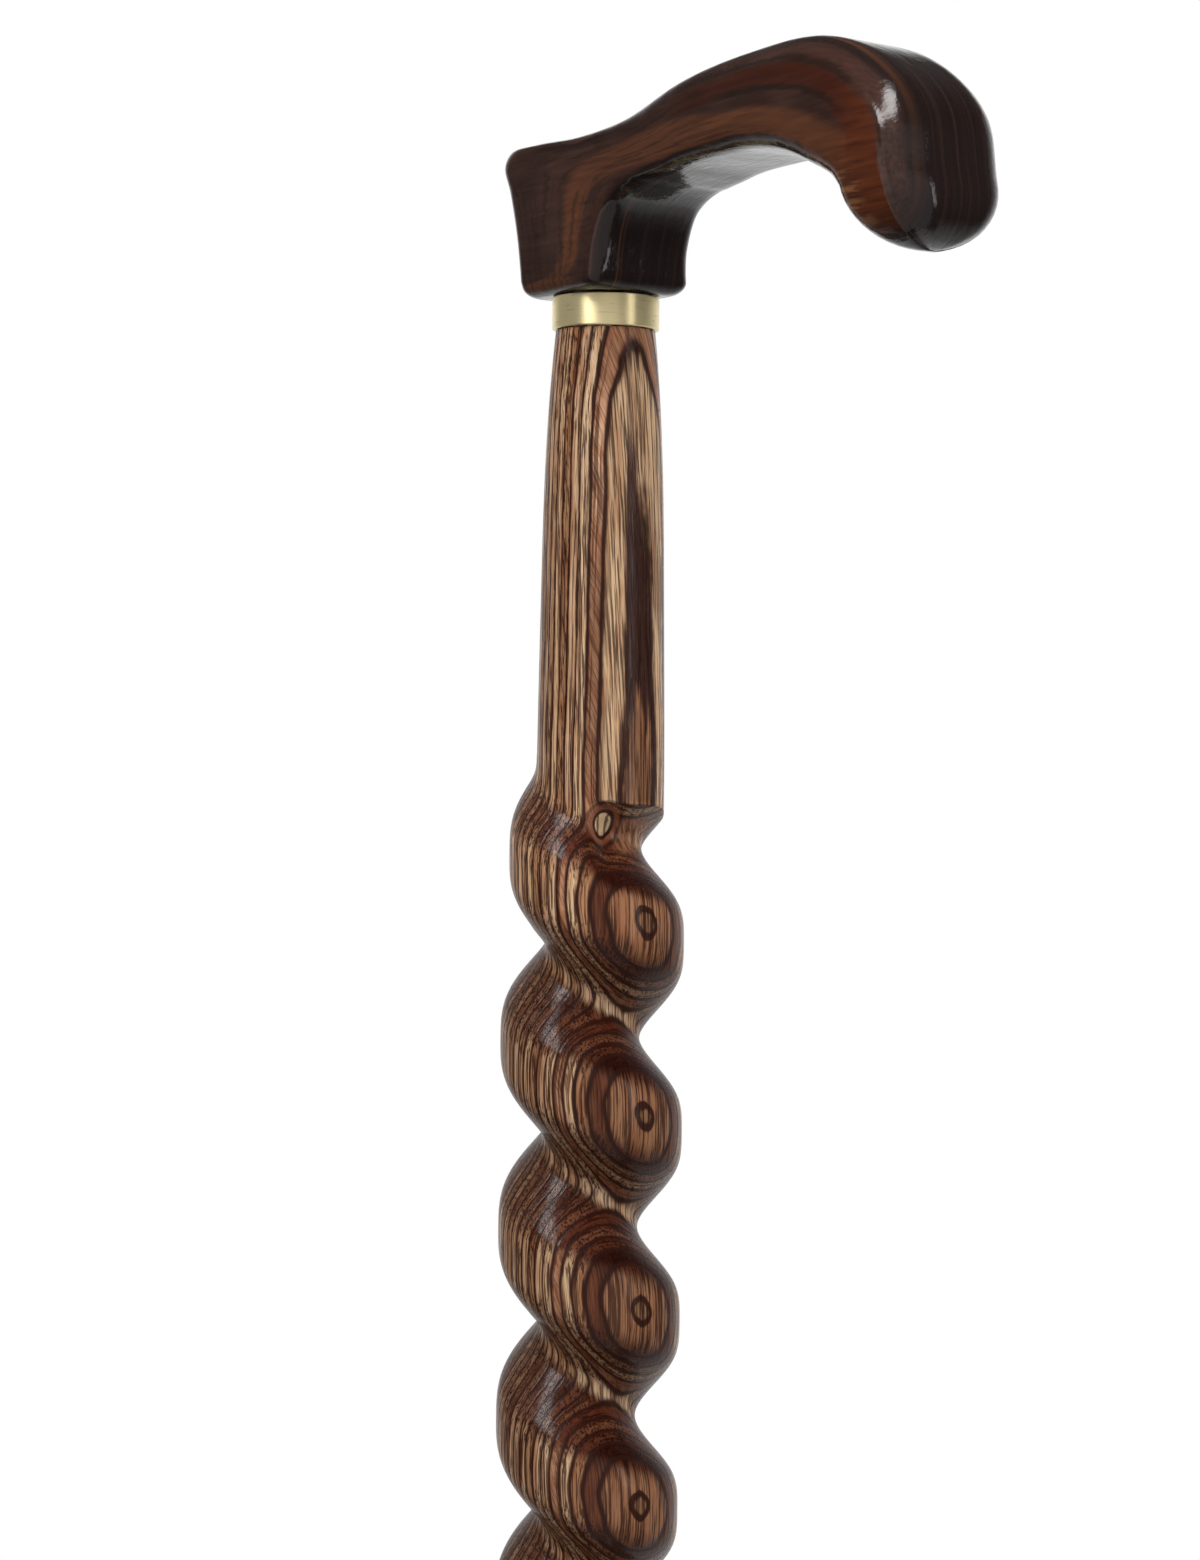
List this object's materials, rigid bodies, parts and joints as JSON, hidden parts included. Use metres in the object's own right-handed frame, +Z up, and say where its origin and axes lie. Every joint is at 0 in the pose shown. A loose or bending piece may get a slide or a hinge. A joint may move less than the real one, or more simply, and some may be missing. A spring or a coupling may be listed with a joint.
{
  "type": "walking cane",
  "caption": "Wooden walking cane with a hooked derby handle, brass collar, rope-twist laminated shaft and pull-off rubber tip.",
  "frame": {"origin": "centre of the rubber tip's ground face, on the shaft's axis", "axes": "+Z up the shaft, +X towards the handle's nose, +Y and -Y to the handle's flat sides"},
  "size_m": [0.1337, 0.038, 0.9198],
  "materials": {
    "handle_wood": "dark walnut under clear gloss lacquer",
    "shaft_laminate": "thin light and dark brown veneers under clear gloss lacquer",
    "collar_brass": "satin, brushed round the collar",
    "bare_steel": "plain",
    "tip_rubber": "matt black"
  },
  "bodies": {
    "cane": {"handle": "handle_wood", "collar": "collar_brass", "joining_rod": "bare_steel", "shaft": "shaft_laminate"},
    "tip": {"rubber_tip": "tip_rubber", "tip_washer": "bare_steel"}
  },
  "joints": [
    {"name": "tip_slide", "type": "slide", "parent": "cane", "child": "tip", "axis": [0, 0, -1], "range_m": [0, 0.05]}
  ]
}
